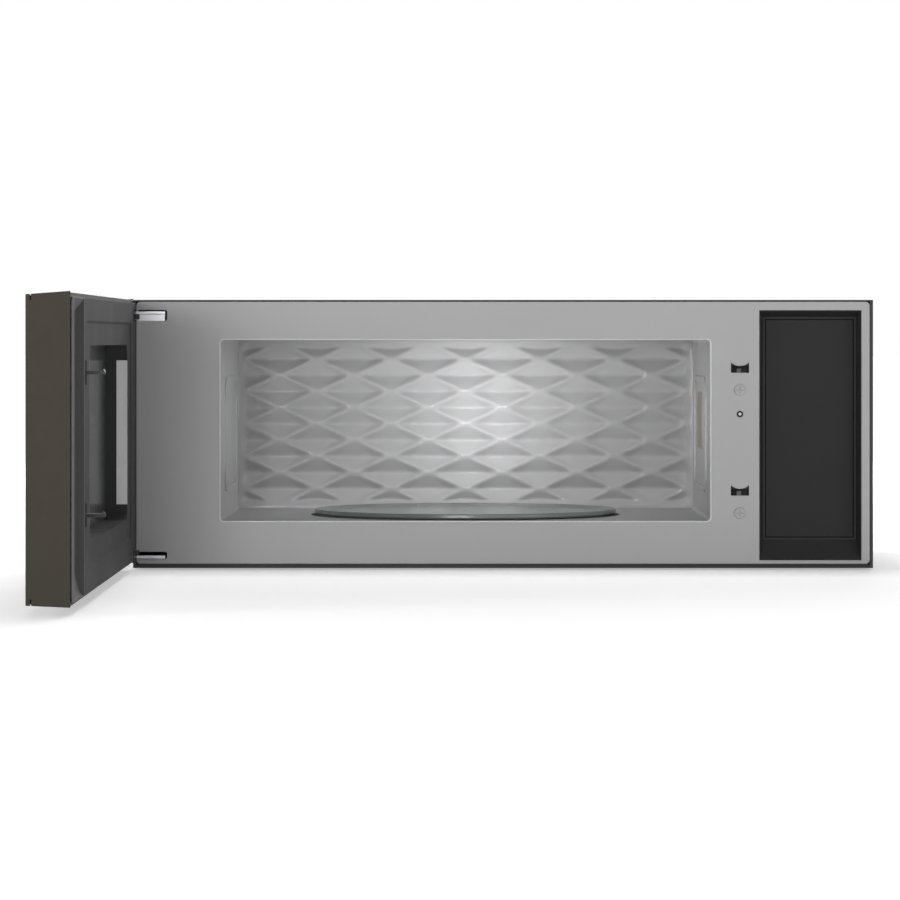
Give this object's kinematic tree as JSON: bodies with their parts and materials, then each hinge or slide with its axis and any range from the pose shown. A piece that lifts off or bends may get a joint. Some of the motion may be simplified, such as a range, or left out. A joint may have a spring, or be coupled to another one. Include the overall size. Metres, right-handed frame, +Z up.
{
  "type": "over-the-range microwave oven",
  "caption": "Wide low microwave oven that hangs over a cooktop, with a full-width side-hung door, glass turntable, quilted back wall and vent in its base.",
  "frame": {"origin": "the foot of the wall bracket's rear face, midway between the body's sides", "axes": "+Y into the wall, so the front faces -Y; +Z up; +X to the right of someone who faces the front"},
  "size_m": [0.7968, 1.1528, 0.2775],
  "materials": {
    "black_paint": "satin",
    "pan_paint": "satin",
    "frame_paint": "satin enamel",
    "cavity_enamel": "satin enamel",
    "galvanised": "galvanised",
    "chrome": "bright",
    "mica": "matt",
    "core_steel": "laminated",
    "copper": "enamelled wire",
    "board": "solder mask",
    "ceramic": "glazed",
    "black_plastic": "fine texture",
    "grey_plastic": "fine texture",
    "lamp_glass": "clear",
    "lens_glass": "frosted",
    "tray_plastic": "fine texture",
    "cover_plastic": "smooth",
    "bronze_steel": "dark stainless, satin",
    "door_glass": "black back print",
    "screen_steel": "perforated, matt",
    "pane_glass": "clear",
    "liner_plastic": "fine texture",
    "display_glass": "smooth",
    "spring_steel": "drawn wire",
    "hook_plastic": "smooth",
    "pin_plastic": "smooth",
    "charcoal": "granular",
    "aluminium_mesh": "mesh",
    "white_plastic": "smooth",
    "tray_glass": "smooth",
    "fan_plastic": "smooth",
    "gland_rubber": "matt",
    "motor_steel": "matt"
  },
  "bodies": {
    "body": {"outer_wrap": "black_paint", "base_pan": "pan_paint", "back_plate": "galvanised", "wall_bracket": "galvanised", "wrap_fasteners": "galvanised", "front_frame": "frame_paint", "hinge_upper": "chrome", "hinge_lower": "chrome", "cavity_shell": "cavity_enamel", "cavity_floor": "cavity_enamel", "cavity_back": "cavity_enamel", "mica_cover": "mica", "waveguide": "galvanised", "magnetron": "galvanised", "transformer_core": "core_steel", "transformer_windings": "copper", "capacitor": "galvanised", "power_board": "board", "thermal_cutouts": "ceramic", "latch_block": "black_plastic", "interlock_switches": "grey_plastic", "latch_screws": "frame_paint", "cavity_lamp": "lamp_glass", "lamp_holder": "ceramic", "cooktop_lamps": "galvanised", "cooktop_lenses": "lens_glass", "filter_clips": "galvanised", "turntable_motor": "galvanised", "blower_scroll": "galvanised", "blower_motor": "motor_steel", "air_duct": "galvanised", "cooling_fan_frame": "galvanised", "exhaust_adapter": "galvanised", "cord_gland": "gland_rubber", "filter_tray": "tray_plastic"},
    "door": {"door_skin": "bronze_steel", "door_glass": "door_glass", "door_frame": "frame_paint", "window_screen": "screen_steel", "inner_glass": "pane_glass", "door_liner": "liner_plastic", "display_module": "display_glass", "control_board": "board", "latch_spring": "spring_steel", "hinge_bushes": "black_plastic"},
    "latch": {"latch_key": "hook_plastic"},
    "plunger": {"sense_plunger": "pin_plastic"},
    "cover": {"filter_cover": "cover_plastic", "charcoal_filter": "charcoal"},
    "grease_left": {"grease_filter_left": "aluminium_mesh"},
    "grease_right": {"grease_filter_right": "aluminium_mesh"},
    "coupler": {"drive_coupler": "white_plastic"},
    "tray": {"glass_tray": "tray_glass"},
    "ring": {"roller_ring": "white_plastic"},
    "front_roller": {"roller_front": "white_plastic"},
    "left_roller": {"roller_left": "white_plastic"},
    "right_roller": {"roller_right": "white_plastic"},
    "blower": {"blower_wheel": "fan_plastic"},
    "fan": {"cooling_fan_wheel": "fan_plastic"},
    "damper": {"damper_flap": "galvanised"}
  },
  "joints": [
    {"name": "door_hinge", "type": "hinge", "parent": "body", "child": "door", "pos_m": [-0.3752, -0.4029, 0], "axis": [0, 0, -1], "range_deg": [-89.7, 10]},
    {"name": "latch_slide", "type": "slide", "parent": "door", "child": "latch", "axis": [0, 0, 1], "range_m": [-0.0026, 0], "stiffness_N_per_m": 150, "springref_m": 0.01, "deforming": ["latch_spring"]},
    {"name": "plunger_slide", "type": "slide", "parent": "body", "child": "plunger", "axis": [0, 1, 0], "range_m": [0, 0.003], "stiffness_N_per_m": 60, "springref_m": -0.005},
    {"name": "cover_pull", "type": "slide", "parent": "body", "child": "cover", "axis": [0, -1, 0], "range_m": [0, 0.04]},
    {"name": "grease_left_drop", "type": "slide", "parent": "body", "child": "grease_left", "axis": [0, 0, 1], "range_m": [-0.03, 0]},
    {"name": "grease_right_drop", "type": "slide", "parent": "body", "child": "grease_right", "axis": [0, 0, 1], "range_m": [-0.03, 0]},
    {"name": "coupler_spin", "type": "hinge", "parent": "body", "child": "coupler", "pos_m": [-0.0387, -0.23, 0], "axis": [0, 0, 1], "continuous": true},
    {"name": "tray_lift", "type": "slide", "parent": "coupler", "child": "tray", "axis": [0, 0, 1], "range_m": [0, 0.04]},
    {"name": "ring_spin", "type": "hinge", "parent": "body", "child": "ring", "pos_m": [-0.0387, -0.23, 0.0408], "axis": [0, 0, 1], "continuous": true},
    {"name": "front_roller_spin", "type": "hinge", "parent": "ring", "child": "front_roller", "pos_m": [-0.0387, -0.23, 0.0408], "axis": [0, -1, 0], "continuous": true},
    {"name": "left_roller_spin", "type": "hinge", "parent": "ring", "child": "left_roller", "pos_m": [-0.0387, -0.23, 0.0408], "axis": [-0.866, 0.5, 0], "continuous": true},
    {"name": "right_roller_spin", "type": "hinge", "parent": "ring", "child": "right_roller", "pos_m": [-0.0387, -0.23, 0.0408], "axis": [0.866, 0.5, 0], "continuous": true},
    {"name": "blower_spin", "type": "hinge", "parent": "body", "child": "blower", "pos_m": [-0.3227, -0.155, 0.122], "axis": [1, 0, 0], "continuous": true},
    {"name": "fan_spin", "type": "hinge", "parent": "body", "child": "fan", "pos_m": [0.2959, -0.12, 0.15], "axis": [0, 1, 0], "continuous": true},
    {"name": "damper_hinge", "type": "hinge", "parent": "body", "child": "damper", "pos_m": [0, -0.0945, 0.27049], "axis": [1, 0, 0], "range_deg": [0, 70]}
  ],
  "couplings": [
    {"joint": "ring_spin", "follows": "coupler_spin", "ratio": 0.5},
    {"joint": "front_roller_spin", "follows": "coupler_spin", "ratio": -8.5},
    {"joint": "left_roller_spin", "follows": "coupler_spin", "ratio": -8.5},
    {"joint": "right_roller_spin", "follows": "coupler_spin", "ratio": -8.5}
  ]
}
